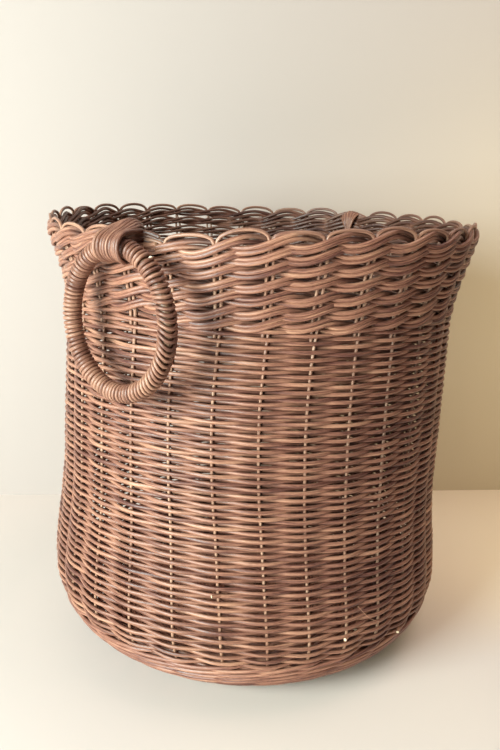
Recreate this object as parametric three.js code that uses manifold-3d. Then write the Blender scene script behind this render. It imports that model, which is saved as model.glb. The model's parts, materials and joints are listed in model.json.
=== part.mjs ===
// A round rattan basket with a flared rim and two wrapped ring handles, in millimetres, +Z up.
// The origin is on the floor under the middle of the base. The handles hang at the -X and +X sides.
// Upright stakes run through the base, the foot, the wall and the rim band. Each one bends over the rim
// in a low arch and is pushed down beside the next stake, which makes the scalloped border.

import * as THREE from "three";
import { mergeVertices } from "three/addons/utils/BufferGeometryUtils.js";
import Module from "manifold-3d";

// Heights, from the floor up
const basketHeight = 400;
const footHeight = 48;
const bandHeight = 72;
const scallopHeight = 10;
const heelHeight = 17;
const bellyHeight = 68;
const waistHeight = 180;

// Outer radii of the wall
const baseRadius = 144;
const bellyRadius = 190.5;
const waistRadius = 183.5;
const neckRadius = 181.3;
const rimRadius = 198.7;
const heelFullness = 1.7;
const rimFlare = 0.2;

// Cane
const stakeDiameter = 3.2;
const weaverDiameter = 3.1;
const fitGap = 0.35;
const stakeCount = 31;
const pairSpacing = 5;
const tailStop = 3;

// Base
const footRingWidth = 10;
const baseDomeHeight = 8;
const stickDiameter = 4.5;
const stickSpacing = 5.2;
const sticksPerGroup = 4;
const stickEndSetback = 3;
const stakeInsertLength = 30;
const slathOpeningRadius = 19;
const slathFanRadius = 40;
const slitSkinThickness = 2.2;
const slitTaperLength = 6;
const eyeLapLength = 0.8;
const groupLapLength = 6;

// Ring handles
const handleSpaceCount = 7.62;
const hingeDrop = 18;
const ringPlay = 0.75;
const ringHeight = 108.5;
const ringWidth = 101;
const ringYaw = THREE.MathUtils.degToRad(8);
const hoopDiameter = 8.8;
const wrapThickness = 2.2;
const wrapWidth = 8.6;
const wrapTurns = 23;
const wrapGap = 5;
const wrapStart = THREE.MathUtils.degToRad(38);
const ringDrop = 0.3;
const ringLift = 0.5;

// Lashings that hold the rings to the rim
const lashDiameter = 2.9;
const lashTurns = 5;
const lashPitch = 3.6;
const lashFan = 0.3;
const lashPlay = 0.85;
const lashCornerRadius = 4;

// Facets
const rodSides = 5;
const hoopSides = 6;
const hoopSteps = 30;
const stepsPerTurn = 7;
const stepsPerLashTurn = 10;
const archSteps = 4;
const footShares = [0, 0.12, 0.4, 1];
const bandShares = [0, 0.35, 0.7, 1];
const weldDistance = 1e-4;

const bandTop = basketHeight - scallopHeight;
const neckHeight = bandTop - bandHeight;
const bandMiddle = neckHeight + bandHeight / 2;
const wallThickness = stakeDiameter + 2 * weaverDiameter;
const baseEdgeRadius = baseRadius - footRingWidth;
const stickEndRadius = baseEdgeRadius - stickEndSetback;
const stakeInsertRadius = baseEdgeRadius - stakeInsertLength;
const stakeRadius = stakeDiameter / 2;
const channelHalf = stakeRadius + fitGap;
const stickRadius = stickDiameter / 2;
const space = (2 * Math.PI) / stakeCount;
const front = -Math.PI / 2;
const UP = new THREE.Vector3(0, 0, 1);

const wasm = await Module();
wasm.setup();

const basket = new THREE.Group();

function material(color, roughness) {
  return new THREE.MeshStandardMaterial({ color, roughness, metalness: 0 });
}

const CANE = material(0x9c6a52, 0.55);
const CANE_LIGHT = material(0xb08468, 0.5);
const CANE_DARK = material(0x7b4d3b, 0.6);
const CANE_CORE = material(0x8a6a4e, 0.7);

function add(name, geometry, look) {
  const mesh = new THREE.Mesh(geometry, look.clone());
  mesh.name = name;
  basket.add(mesh);
  return mesh;
}

// Smooth curve between two values with a given slope at each end
function hermite(x, x0, y0, slope0, x1, y1, slope1) {
  const span = x1 - x0;
  const t = (x - x0) / span;
  const rise = t * t * (3 - 2 * t);
  const lead = t * (1 - t) * (1 - t) * slope0 * span;
  const trail = -t * t * (1 - t) * slope1 * span;
  return y0 + (y1 - y0) * rise + lead + trail;
}

// Outer radius of the basket at a height: rounded heel, belly, waist, neck and flared rim
function outerRadius(z) {
  if (z < bellyHeight) {
    const rise = Math.pow(1 - z / bellyHeight, heelFullness);
    return baseRadius + (bellyRadius - baseRadius) * Math.pow(1 - rise, 1 / heelFullness);
  }
  if (z < waistHeight) return hermite(z, bellyHeight, bellyRadius, 0, waistHeight, waistRadius, 0);
  if (z < neckHeight) return hermite(z, waistHeight, waistRadius, 0, neckHeight, neckRadius, 0);
  return hermite(z, neckHeight, neckRadius, 0, basketHeight, rimRadius, rimFlare);
}

// Point of the wall's section at a height, moved inwards square to the outer face
function sectionPoint(z, inset) {
  const step = 0.5;
  const low = Math.max(z - step, 0);
  const high = z + step;
  const along = new THREE.Vector2(outerRadius(high) - outerRadius(low), high - low).normalize();
  const inward = z === 0 ? new THREE.Vector2(0, 1) : new THREE.Vector2(-along.y, along.x);
  return new THREE.Vector2(outerRadius(z), z).addScaledVector(inward, inset);
}

function polar(radius, angle, z) {
  return new THREE.Vector3(radius * Math.cos(angle), radius * Math.sin(angle), z);
}

// Middle height of the base: a shallow cone, raised in the middle so that the basket rests on its rim
function baseMiddle(radius) {
  const out = Math.max(radius - slathFanRadius, 0) / (baseEdgeRadius - slathFanRadius);
  return wallThickness / 2 + baseDomeHeight * (1 - out);
}

// Closed surface of revolution from an outline in radius and height, drawn anticlockwise
function revolve(outline) {
  const closed = [...outline, outline[0]];
  return new THREE.LatheGeometry(closed, stakeCount).rotateX(Math.PI / 2);
}

// Closed skin over rings of points, with flat ends or joined end to end
function skin(rings, loop = false) {
  const count = rings[0].length;
  const index = [];
  const last = loop ? rings.length : rings.length - 1;
  for (let i = 0; i < last; i++) {
    const here = i * count;
    const there = ((i + 1) % rings.length) * count;
    for (let j = 0; j < count; j++) {
      const k = (j + 1) % count;
      index.push(here + j, here + k, there + k, here + j, there + k, there + j);
    }
  }
  const end = (rings.length - 1) * count;
  for (let j = 1; !loop && j < count - 1; j++) {
    index.push(0, j + 1, j, end, end + j, end + j + 1);
  }
  const geometry = new THREE.BufferGeometry();
  const positions = rings.flat().flatMap((p) => [p.x, p.y, p.z]);
  geometry.setAttribute("position", new THREE.Float32BufferAttribute(positions, 3));
  geometry.setIndex(index);
  return geometry;
}

// Corners of a round section and of a rectangular one, in the section's own plane
function roundSection(radius, sides) {
  return Array.from({ length: sides }, (_, j) => {
    const turn = (2 * Math.PI * j) / sides;
    return new THREE.Vector2(radius * Math.cos(turn), radius * Math.sin(turn));
  });
}

function boxSection(halfDepth, low, high) {
  return [
    new THREE.Vector2(halfDepth, low),
    new THREE.Vector2(halfDepth, high),
    new THREE.Vector2(-halfDepth, high),
    new THREE.Vector2(-halfDepth, low),
  ];
}

// Section carried along a path without twist, starting from a given side direction
function sweep(path, section, side) {
  let normal = side.clone();
  const rings = path.map((point, i) => {
    const back = i > 0 ? point.clone().sub(path[i - 1]).normalize() : new THREE.Vector3();
    const ahead = i < path.length - 1 ? path[i + 1].clone().sub(point).normalize() : new THREE.Vector3();
    const along = back.add(ahead).normalize();
    normal = normal.addScaledVector(along, -normal.dot(along)).normalize();
    const across = along.clone().cross(normal);
    return section.map((c) => point.clone().addScaledVector(normal, c.x).addScaledVector(across, c.y));
  });
  return skin(rings);
}

function toSolid(geometry) {
  const plain = geometry.clone();
  plain.deleteAttribute("normal");
  plain.deleteAttribute("uv");
  const merged = mergeVertices(plain, weldDistance);
  const vertProperties = merged.attributes.position.array;
  const triVerts = new Uint32Array(merged.index.array);
  return new wasm.Manifold(new wasm.Mesh({ numProp: 3, vertProperties, triVerts }));
}

function toGeometry(solid) {
  const mesh = solid.getMesh();
  const geometry = new THREE.BufferGeometry();
  geometry.setAttribute("position", new THREE.BufferAttribute(new Float32Array(mesh.vertProperties), 3));
  geometry.setIndex(new THREE.BufferAttribute(new Uint32Array(mesh.triVerts), 1));
  return geometry;
}

function cut(geometry, cutters) {
  return toGeometry(cutters.reduce((solid, cutter) => solid.subtract(cutter), toSolid(geometry)));
}

// Base sticks: two groups cross at right angles and their ends fan out evenly
const stickEnds = 4 * sticksPerGroup;
const endSpace = (2 * Math.PI) / stickEnds;
const groupHalf = ((sticksPerGroup - 1) * stickSpacing) / 2;
const slitHalf = groupHalf + stickRadius + fitGap;
const slitEnd = slitHalf + slitTaperLength;

function stickEndAngle(end) {
  return front + (end + 0.5) * endSpace;
}

// Half of one stick, from the crossing to its end, in the group's own direction
function stickHalf(index, heading) {
  const offset = index * stickSpacing - groupHalf;
  const angle = heading + (index - (sticksPerGroup - 1) / 2) * endSpace;
  const along = polar(1, heading, 0);
  const across = polar(1, heading + Math.PI / 2, 0);
  return [
    along.clone().multiplyScalar(slitEnd).addScaledVector(across, offset).setZ(baseMiddle(slitEnd)),
    polar(slathFanRadius, angle, baseMiddle(slathFanRadius)),
    polar(stickEndRadius, angle, baseMiddle(stickEndRadius)),
  ];
}

function stickPath(index, heading) {
  const opposite = sticksPerGroup - 1 - index;
  return [...stickHalf(opposite, heading + Math.PI).reverse(), ...stickHalf(index, heading)];
}

// The eye of a split stick: its two halves pass over and under the other group
function stickEye(index) {
  const halfHeight = stickRadius + fitGap + slitSkinThickness;
  const outline = new THREE.Shape([
    new THREE.Vector2(-slitEnd, -stickRadius),
    new THREE.Vector2(-slitHalf, -halfHeight),
    new THREE.Vector2(slitHalf, -halfHeight),
    new THREE.Vector2(slitEnd, -stickRadius),
    new THREE.Vector2(slitEnd, stickRadius),
    new THREE.Vector2(slitHalf, halfHeight),
    new THREE.Vector2(-slitHalf, halfHeight),
    new THREE.Vector2(-slitEnd, stickRadius),
  ]);
  const windowHalf = stickRadius + fitGap;
  outline.holes.push(
    new THREE.Path([
      new THREE.Vector2(-slitHalf, -windowHalf),
      new THREE.Vector2(-slitHalf, windowHalf),
      new THREE.Vector2(slitHalf, windowHalf),
      new THREE.Vector2(slitHalf, -windowHalf),
    ]),
  );
  const eye = new THREE.ExtrudeGeometry(outline, { depth: stickDiameter, bevelEnabled: false });
  eye.translate(0, 0, -stickRadius);
  eye.rotateX(Math.PI / 2);
  return eye.translate(0, index * stickSpacing - groupHalf, baseMiddle(slitEnd));
}

const stickSection = roundSection(stickRadius, rodSides);
const stickChannel = boxSection(stickRadius + fitGap, -stickRadius - fitGap, stickRadius + fitGap);
const stickCutters = [];
for (let i = 0; i < sticksPerGroup; i++) {
  let splitStick = toSolid(stickEye(i));
  for (const [inside, fan, end] of [stickHalf(sticksPerGroup - 1 - i, Math.PI), stickHalf(i, 0)]) {
    const start = inside.clone().setX(inside.x - Math.sign(inside.x) * eyeLapLength);
    splitStick = splitStick.add(toSolid(sweep([start, fan, end], stickSection, UP)));
  }
  add(`split_base_stick_${i + 1}`, toGeometry(splitStick), CANE_CORE);
  add(`through_base_stick_${i + 1}`, sweep(stickPath(i, Math.PI / 2), stickSection, UP), CANE_CORE);
  for (const quarter of [0, 1, 2, 3]) {
    const [inside, fan, end] = stickHalf(i, (quarter * Math.PI) / 2);
    const back = inside.clone().sub(fan).normalize();
    const start = fan.clone().addScaledVector(back, groupLapLength + stickRadius);
    stickCutters.push(toSolid(sweep([start, fan, end], stickChannel, UP)));
  }
}

// Stakes: each starts beside a base stick's end, turns up the wall, arches over the rim and ends
// beside the next stake
const stakeBesideStick = stickRadius + stakeRadius + 1.5 * fitGap;

function pairAngle(k) {
  return front + k * space;
}

function stakeAngle(k, radius) {
  return pairAngle(k) + pairSpacing / 2 / radius;
}

function tailAngle(k, radius) {
  return pairAngle(k + 1) - pairSpacing / 2 / radius;
}

function insertPoint(k, radius) {
  const angle = stickEndAngle(Math.floor(k / 2));
  const side = k % 2 ? 1 : -1;
  const beside = polar(side * stakeBesideStick, angle + Math.PI / 2, baseMiddle(radius));
  return polar(radius, angle, 0).add(beside);
}

function stakePoint(k, z) {
  const p = sectionPoint(z, wallThickness / 2);
  return polar(p.x, stakeAngle(k, p.x), p.y);
}

// From the base to the rim: beside the stick's end, round the heel and up the wall
function stakeRise(k) {
  const edge = insertPoint(k, baseEdgeRadius);
  const edgeAngle = Math.atan2(edge.y, edge.x);
  const heelLevels = [0, heelHeight];
  const points = [insertPoint(k, stakeInsertRadius), edge];
  heelLevels.forEach((z, i) => {
    const p = sectionPoint(z, wallThickness / 2);
    const full = stakeAngle(k, p.x);
    const turn = THREE.MathUtils.euclideanModulo(full - edgeAngle + Math.PI, 2 * Math.PI) - Math.PI;
    points.push(polar(p.x, edgeAngle + (turn * (i + 1)) / heelLevels.length, p.y));
  });
  const wallHeights = [bellyHeight, waistHeight, neckHeight, bandMiddle, bandTop];
  return [...points, ...wallHeights.map((z) => stakePoint(k, z))];
}

function stakeArch(k) {
  const foot = sectionPoint(bandTop, wallThickness / 2);
  const start = stakeAngle(k, foot.x);
  const end = tailAngle(k, foot.x);
  const highest = Math.sin((Math.PI * Math.floor(archSteps / 2)) / archSteps);
  const rise = (basketHeight - stakeRadius - foot.y) / highest;
  const points = [];
  for (let i = 1; i < archSteps; i++) {
    const turn = (Math.PI * i) / archSteps;
    const angle = (start + end) / 2 - ((end - start) / 2) * Math.cos(turn);
    points.push(polar(foot.x, angle, foot.y + rise * Math.sin(turn)));
  }
  return points;
}

// Down beside the next stake, to just above the neck
function stakeTail(k) {
  const [top, middle, neck] = [bandTop, bandMiddle, neckHeight].map((z) => {
    const p = sectionPoint(z, wallThickness / 2);
    return polar(p.x, tailAngle(k, p.x), p.y);
  });
  return [top, middle, neck.lerp(middle, tailStop / (bandMiddle - neckHeight))];
}

// Wide slot in the base's edge for a stick's end and the two stakes beside it
const endSlotHalf = stakeBesideStick + channelHalf;
const endSlot = boxSection(stickRadius + fitGap, -endSlotHalf, endSlotHalf);
const endCutters = [];
for (let end = 0; end < stickEnds; end++) {
  const angle = stickEndAngle(end);
  const slot = [stakeInsertRadius - fitGap, baseEdgeRadius + stickRadius];
  endCutters.push(toSolid(sweep(slot.map((r) => polar(r, angle, baseMiddle(r))), endSlot, UP)));
}

const stakeSection = roundSection(stakeRadius, rodSides);
const stakeChannel = boxSection(channelHalf, -channelHalf, channelHalf);
const pairHalf = pairSpacing / 2 + channelHalf;
const pairChannel = boxSection(channelHalf, -pairHalf, pairHalf);
const stakeCutters = [];
const pairCutters = [];
for (let k = 0; k < stakeCount; k++) {
  const rise = stakeRise(k);
  const tail = stakeTail(k);
  const name = `stake_${String(k + 1).padStart(2, "0")}`;
  add(name, sweep([...rise, ...stakeArch(k), ...tail], stakeSection, UP), CANE_LIGHT);
  const start = insertPoint(k, baseEdgeRadius - channelHalf);
  const below = rise.slice(1).filter((p) => p.z < neckHeight - fitGap);
  const end = stakePoint(k, neckHeight + 3 * fitGap);
  stakeCutters.push(toSolid(sweep([start, ...below, end], stakeChannel, UP)));
  const pair = [neckHeight - channelHalf, bandMiddle, bandTop, basketHeight].map((z) => {
    const p = sectionPoint(Math.min(z, bandTop), wallThickness / 2);
    return polar(p.x, pairAngle(k), z === basketHeight ? basketHeight : p.y);
  });
  pairCutters.push(toSolid(sweep(pair, pairChannel, polar(1, pairAngle(k), 0))));
}

// Base weave: a domed disc with an opening where the sticks cross
function baseOutline() {
  const radii = [slathOpeningRadius, slathFanRadius, baseEdgeRadius - fitGap];
  const half = wallThickness / 2;
  const under = radii.map((r) => new THREE.Vector2(r, baseMiddle(r) - half));
  const over = radii.map((r) => new THREE.Vector2(r, baseMiddle(r) + half)).reverse();
  return [...under, ...over];
}

// Room for a whole group of sticks where the first rounds go round them together
function groupCutter(heading) {
  const inner = slathOpeningRadius - slitTaperLength;
  const outer = slathFanRadius - groupLapLength;
  const fanHalf = slathFanRadius * Math.sin(((sticksPerGroup - 1) / 2) * endSpace) + stickDiameter;
  const outline = new THREE.Shape([
    new THREE.Vector2(inner, -slitHalf - stickRadius),
    new THREE.Vector2(outer, -fanHalf),
    new THREE.Vector2(outer, fanHalf),
    new THREE.Vector2(inner, slitHalf + stickRadius),
  ]);
  const height = stickDiameter + 3 * fitGap;
  const prism = new THREE.ExtrudeGeometry(outline, { depth: height, bevelEnabled: false });
  prism.translate(0, 0, baseMiddle(slathOpeningRadius) - (height + fitGap) / 2);
  return toSolid(prism.rotateZ(heading));
}

const groupCutters = [0, 1, 2, 3].map((quarter) => groupCutter((quarter * Math.PI) / 2));
add("base_weave", cut(revolve(baseOutline()), [...groupCutters, ...stickCutters, ...endCutters]), CANE);

// Section of a woven wall, with both faces drawn in by the same amount
function shellOutline(levels, insideLevels, inset) {
  const outer = levels.map((z) => sectionPoint(z, inset));
  const inner = insideLevels.map((z) => sectionPoint(z, wallThickness - inset)).reverse();
  return [...outer, ...inner];
}

// Ribbed shell: of full thickness at the stakes, where the weavers pass on both sides of them, and thin
// midway between the stakes, where the weavers cross the middle of the wall
function ribbedShell(levels, insideLevels) {
  const thinning = (wallThickness - weaverDiameter) / 2;
  const rings = Array.from({ length: 2 * stakeCount }, (_, i) => {
    const outline = shellOutline(levels, insideLevels, i % 2 ? thinning : 0);
    return outline.map((p) => polar(p.x, pairAngle(-i / 2), p.y));
  });
  return skin(rings, true);
}

// Foot: thick rows of three-strand weave round the rounded heel, flat where the basket stands
const footLevels = footShares.map((share) => share * footHeight);
const footOutline = [
  new THREE.Vector2(baseEdgeRadius, 0),
  ...shellOutline(footLevels, footLevels.slice(1), 0),
  new THREE.Vector2(baseEdgeRadius, wallThickness),
];
add("foot_weave", cut(revolve(footOutline), stakeCutters), CANE_DARK);

// Wall of plain over-and-under weave
const wallFoot = footHeight + fitGap;
const wallLevels = [wallFoot, bellyHeight, waistHeight, neckHeight];
const wallShell = ribbedShell(wallLevels, wallLevels);
add("wall_weave", cut(wallShell, stakeCutters), CANE);

// The wrapping's outer radius, and the hinge where the ring hangs just clear of the band and the wall
const flatsOfTurn = Math.cos(Math.PI / stepsPerTurn);
const wrapRadius = (hoopDiameter / 2 + wrapThickness / 2 + 2 * fitGap) / flatsOfTurn + wrapThickness / 2;
const hingeHeight = basketHeight - hingeDrop;
const wallBesideRing = [bandTop, neckHeight, hingeHeight - ringHeight].map(outerRadius);
const hingeRadius = Math.max(...wallBesideRing) + wrapRadius + ringPlay;

// A handle's frame: the hinge axis runs along the ring, turned a little off the rim's tangent
function handleFrame(side) {
  const angle = front + side * handleSpaceCount * space;
  const axis = polar(1, angle + Math.PI / 2 + side * ringYaw, 0);
  const inward = UP.clone().cross(axis);
  return new THREE.Matrix4().makeBasis(axis, inward, UP).setPosition(polar(hingeRadius, angle, hingeHeight));
}

// The lashing is a belt round three discs: the ring's tube, the rim's top and the inside of the band
const archPoint = sectionPoint(bandTop, wallThickness / 2);
const lashHalf = (lashTurns * lashPitch * (1 + lashFan)) / 2;

function lashDiscs() {
  const bandInner = sectionPoint(hingeHeight - wrapRadius, wallThickness).x;
  const lean = lashHalf * Math.sin(ringYaw) + (lashHalf * lashHalf) / bandInner;
  const bandInside = bandInner - fitGap - lean - lashDiameter / 2;
  const tube = { x: -ringDrop, z: ringLift, radius: wrapRadius + lashPlay + lashDiameter };
  const crown = basketHeight + lashDiameter + fitGap - hingeHeight;
  const topRadius = archPoint.x - bandInside - stakeDiameter;
  const corner = lashCornerRadius;
  return [
    tube,
    { x: hingeRadius - bandInside - topRadius, z: crown - topRadius, radius: topRadius },
    { x: hingeRadius - bandInside - corner, z: tube.z - tube.radius + corner, radius: corner },
  ];
}

function lashPoint(turn, discs) {
  const ny = -Math.cos(turn);
  const nz = Math.sin(turn);
  const reach = (disc) => disc.x * ny + disc.z * nz + disc.radius;
  const disc = discs.reduce((best, d) => (reach(d) > reach(best) ? d : best));
  const loops = turn / (2 * Math.PI) - lashTurns / 2;
  const spread = 1 + (lashFan * (1 + nz)) / 2;
  return new THREE.Vector3(loops * lashPitch * spread, disc.x + disc.radius * ny, disc.z + disc.radius * nz);
}

function lashPath() {
  const discs = lashDiscs();
  const steps = lashTurns * stepsPerLashTurn;
  const turn = (2 * Math.PI) / stepsPerLashTurn;
  return Array.from({ length: steps + 1 }, (_, i) => lashPoint(i * turn, discs));
}

// The ring's centre line, hanging from the hinge, with its radius the two ways
function ringPoint(turn) {
  const x = (ringWidth / 2) * Math.sin(turn);
  return new THREE.Vector3(x, 0, (ringHeight / 2) * (Math.cos(turn) - 1));
}

function ringNormal(turn) {
  const x = Math.sin(turn) / (ringWidth / 2);
  return new THREE.Vector3(x, 0, Math.cos(turn) / (ringHeight / 2)).normalize();
}

const ringSide = new THREE.Vector3(0, -1, 0);

function hoop() {
  const section = roundSection(hoopDiameter / 2, hoopSides);
  const rings = Array.from({ length: hoopSteps }, (_, i) => {
    const turn = (2 * Math.PI * i) / hoopSteps;
    const out = ringNormal(turn);
    return section.map((c) => ringPoint(turn).addScaledVector(out, c.x).addScaledVector(ringSide, c.y));
  });
  return skin(rings, true);
}

// The wrapping is one flat strand wound round the hoop, with its two ends at the ring's shoulder
function wrapping() {
  const radius = wrapRadius - wrapThickness / 2;
  const steps = wrapTurns * stepsPerTurn;
  const from = wrapStart + wrapGap / ringHeight;
  const to = wrapStart + 2 * Math.PI - wrapGap / ringHeight;
  const centres = [];
  const outs = [];
  for (let i = 0; i <= steps; i++) {
    const turn = from + ((to - from) * i) / steps;
    const roll = (2 * Math.PI * i) / stepsPerTurn;
    const out = ringNormal(turn).multiplyScalar(Math.cos(roll)).addScaledVector(ringSide, Math.sin(roll));
    outs.push(out);
    centres.push(ringPoint(turn).addScaledVector(out, radius));
  }
  const tail = (a, b) => a.clone().addScaledVector(a.clone().sub(b).normalize(), wrapThickness);
  centres.unshift(tail(centres[0], centres[1]));
  outs.unshift(outs[0]);
  centres.push(tail(centres.at(-1), centres.at(-2)));
  outs.push(outs.at(-1));
  return centres.map((centre, i) => {
    const back = centres[Math.max(i - 1, 0)];
    const ahead = centres[Math.min(i + 1, centres.length - 1)];
    const along = ahead.clone().sub(back).normalize();
    const out = outs[i].clone().addScaledVector(along, -outs[i].dot(along)).normalize();
    const across = along.clone().cross(out);
    const section = boxSection(wrapThickness / 2, -wrapWidth / 2, wrapWidth / 2);
    return section.map((c) => centre.clone().addScaledVector(out, c.x).addScaledVector(across, c.y));
  });
}

// Least distance between the corner points of one turn and those of the turns beside it
function leastGap(rings, ringsPerTurn) {
  let least = Infinity;
  for (let i = 0; i < rings.length; i++) {
    const first = i + Math.floor(ringsPerTurn / 2) + 1;
    const last = Math.min(i + Math.ceil(1.5 * ringsPerTurn), rings.length - 1);
    for (let j = first; j <= last; j++) {
      for (const a of rings[i]) {
        for (const b of rings[j]) least = Math.min(least, a.distanceTo(b));
      }
    }
  }
  return least;
}

const wrapRings = wrapping();
console.log(`least gap between the wrapping's turns ${leastGap(wrapRings, stepsPerTurn).toFixed(2)} mm`);

const lashGeometry = sweep(lashPath(), roundSection(lashDiameter / 2, rodSides), ringSide);

// Window through the band for the lashing's lower strands
function lashWindow(frame) {
  const discs = lashDiscs();
  const half = lashHalf + lashDiameter / 2;
  const low = discs[0].z - discs[0].radius - lashDiameter / 2 - fitGap;
  const high = low + lashDiameter + 4 * fitGap + discs[2].radius / 2;
  const depth = 3 * wallThickness;
  const box = new THREE.BoxGeometry(2 * half, depth, high - low);
  const middle = hingeRadius - sectionPoint(hingeHeight, wallThickness / 2).x;
  return toSolid(box.translate(0, middle, (low + high) / 2).applyMatrix4(frame));
}

const handles = [
  { side: "left", frame: handleFrame(-1) },
  { side: "right", frame: handleFrame(1) },
];
for (const { side, frame } of handles) {
  add(`${side}_ring_hoop`, hoop().applyMatrix4(frame), CANE_CORE);
  add(`${side}_ring_wrapping`, skin(wrapRings).applyMatrix4(frame), CANE_LIGHT);
  add(`${side}_ring_lashing`, lashGeometry.clone().applyMatrix4(frame), CANE_LIGHT);
}

// Flared band of two-strand twining, with a window behind each handle
const bandLevels = bandShares.map((share) => THREE.MathUtils.lerp(neckHeight + fitGap, bandTop, share));
const bandShell = ribbedShell(bandLevels, [bandLevels[0], bandMiddle, bandTop]);
const windows = handles.map((handle) => lashWindow(handle.frame));
add("band_weave", cut(bandShell, [...pairCutters, ...windows]), CANE);

export default basket;
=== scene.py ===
"""Looks of the rattan basket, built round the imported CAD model.

Metres, +Z up, origin on the floor under the middle of the base. Every strand of cane is a real tube: the
weaves, the stakes with their arches, the base sticks and the wrapped rings. They follow the same wall
section as the CAD solids that they stand for.
"""

import json
import math

import bpy
import numpy as np
from mathutils import Matrix, Vector


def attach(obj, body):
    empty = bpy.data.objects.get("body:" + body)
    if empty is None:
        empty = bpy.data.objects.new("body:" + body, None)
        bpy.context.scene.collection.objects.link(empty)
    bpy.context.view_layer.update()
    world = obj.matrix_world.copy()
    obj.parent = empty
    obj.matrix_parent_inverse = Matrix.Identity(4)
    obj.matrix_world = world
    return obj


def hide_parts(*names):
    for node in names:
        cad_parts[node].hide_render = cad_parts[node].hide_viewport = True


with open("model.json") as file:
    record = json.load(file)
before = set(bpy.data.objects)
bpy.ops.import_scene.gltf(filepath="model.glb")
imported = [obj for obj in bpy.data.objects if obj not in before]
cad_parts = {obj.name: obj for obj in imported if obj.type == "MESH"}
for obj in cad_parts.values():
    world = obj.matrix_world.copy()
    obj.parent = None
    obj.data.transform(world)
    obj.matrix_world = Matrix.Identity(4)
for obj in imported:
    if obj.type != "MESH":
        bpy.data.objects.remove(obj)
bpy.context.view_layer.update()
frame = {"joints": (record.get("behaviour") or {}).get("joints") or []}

MM = 0.001
TAU = 2 * math.pi

# Heights of the wall, from the floor up
BASKET_HEIGHT = 400 * MM
SCALLOP_HEIGHT = 10 * MM
BAND_TOP = BASKET_HEIGHT - SCALLOP_HEIGHT
NECK_HEIGHT = BAND_TOP - 72 * MM
FOOT_HEIGHT = 48 * MM
BELLY_HEIGHT = 68 * MM
WAIST_HEIGHT = 180 * MM

# Outer radii of the wall
BASE_RADIUS = 144 * MM
BELLY_RADIUS = 190.5 * MM
WAIST_RADIUS = 183.5 * MM
NECK_RADIUS = 181.3 * MM
RIM_RADIUS = 198.7 * MM
HEEL_FULLNESS = 1.7
RIM_FLARE = 0.2
BASE_EDGE_RADIUS = BASE_RADIUS - 10 * MM
FLAT_STEPS = 12

# How the hand-made wall departs from its even section. The swell's place and width are shares of the height
SWELL, SWELL_PLACE, SWELL_WIDTH = 1.8 * MM, 0.17, 0.09
FLOOR_TUCK, TUCK_HEIGHT = 8 * MM, 19 * MM
HANDLE_CALM = 0.22

# Lean of the wall to the camera's right at heights, in mm
SWAY = [(0, 0), (60, -0.6), (110, -0.8), (180, 1.0), (260, 2.4), (320, 3.6), (360, 4.4), (400, 3.7)]

# Turn of the wall about its axis at heights, as a shift along the wall, in mm. It is largest at one side
TWIST = [(5, 0), (34, 14), (95, 10.5), (130, 7.5), (163, 4.3), (187, 1.8), (235, -1.0), (266, -1.5), (318, 0)]
TWIST_STRENGTH = 1.25
TWIST_SIDE = math.radians(-95)
TWIST_WIDTH = math.radians(38)

# Where the rim sags: angle and width in degrees, and depth. A negative depth is a rise
RIM_SAGS = [(-205, 45, 6.5 * MM), (-166, 11, 5.5 * MM), (61, 20, -2.5 * MM)]

# Stakes and strands of cane
STAKES = 31
SPACE = TAU / STAKES
FRONT = -math.pi / 2
HANDLE_SPACES = 7.62
STAKE_TURN = math.radians(0.4)
STAKE_RADIUS = 1.6 * MM
ARCH_RADIUS = 1.4 * MM
# How much darker the arch is than the upright part, whose paler tone is partly painted light where the weave
# shades it
ARCH_DARKER = 0.18
UPRIGHT_RADIUS = 1.38 * MM
WEAVER_RADIUS = 1.76 * MM
WEAVER_SQUASH = 0.86
# How much painted shade a strand's round flanks take in their colour
FLANK_PAINTED_SHADE = 0.6
WALL_HALF = 4.7 * MM
WEAVE_DEPTH = UPRIGHT_RADIUS + WEAVER_SQUASH * WEAVER_RADIUS + 0.05 * MM
PAIR_SPACING = 5 * MM
PAIR_CLOSING = 0.7
SINGLE_SHIFT = 0.9 * MM
PRESSED_ARCH = 2.6 * MM

# Course of a stake. It lies beside a base stick at some radii, and rounds the heel between an arc length and a
# height. At the neck it moves aside for its neighbour's end, and below the rim the two close up
INSERT_RADII = (104 * MM, 119 * MM, BASE_EDGE_RADIUS - 2 * MM)
HEEL_START, HEEL_END = 10 * MM, 17 * MM
PARTING_START, PARTING_LENGTH = NECK_HEIGHT - 12 * MM, 18 * MM
CLOSING_LENGTH = 14 * MM
STAKE_END = NECK_HEIGHT - 2 * MM

# Share of a turn in which the step at a spiral's end is made smooth
SPIRAL_EASE = 0.15

# Wall weave: what its strand does behind the stakes, where its colour also takes painted shade, and the wedge
# of room that it fills below the band's step
WALL_PITCH = 3.1 * MM
WALL_TOP = NECK_HEIGHT + 6.5 * MM
DIP_BEHIND = 0.45 * MM
THICKER_BEHIND = 0.22
PAINTED_SHADE_BEHIND = 0.6
WEDGE = 6.0 * MM
WEDGE_SPACES = HANDLE_SPACES + 0.8
WEDGE_WIDTH = 0.38
WEDGE_HEIGHT = 34 * MM

# Foot: three strands, which climb by a pitch in each turn
FOOT_STRANDS = 3
FOOT_PITCH = 6.4 * MM
FOOT_SWING = 2.2 * MM
FOOT_START = 2 * MM
FOOT_END = FOOT_HEIGHT - 3 * MM
FOOT_JOIN_HEIGHT = 40 * MM

# The foot's floats: how flat they are, and how much longer in front of the stakes than behind
FLOAT_FLATNESS, FLOAT_LONGER = 1.6, 0.25

# Rows of the band, from the bottom: height of each row's front strands where they cross a stake
BAND_ROWS = [height * MM for height in (327.5, 337.2, 347.8, 358.8, 369.4, 379.4, 388.4)]
BAND_STRAND_RADIUS = 1.88 * MM
BAND_SWING = 3.4 * MM
BAND_LAG = math.radians(22)
BAND_STEP_SPACES = 4
BAND_LAST_STEP = 2 * MM
BAND_WANDER = 0.75 * MM
BAND_TENSION = 0.25
BAND_TOP_WIDER = 0.3

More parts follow.
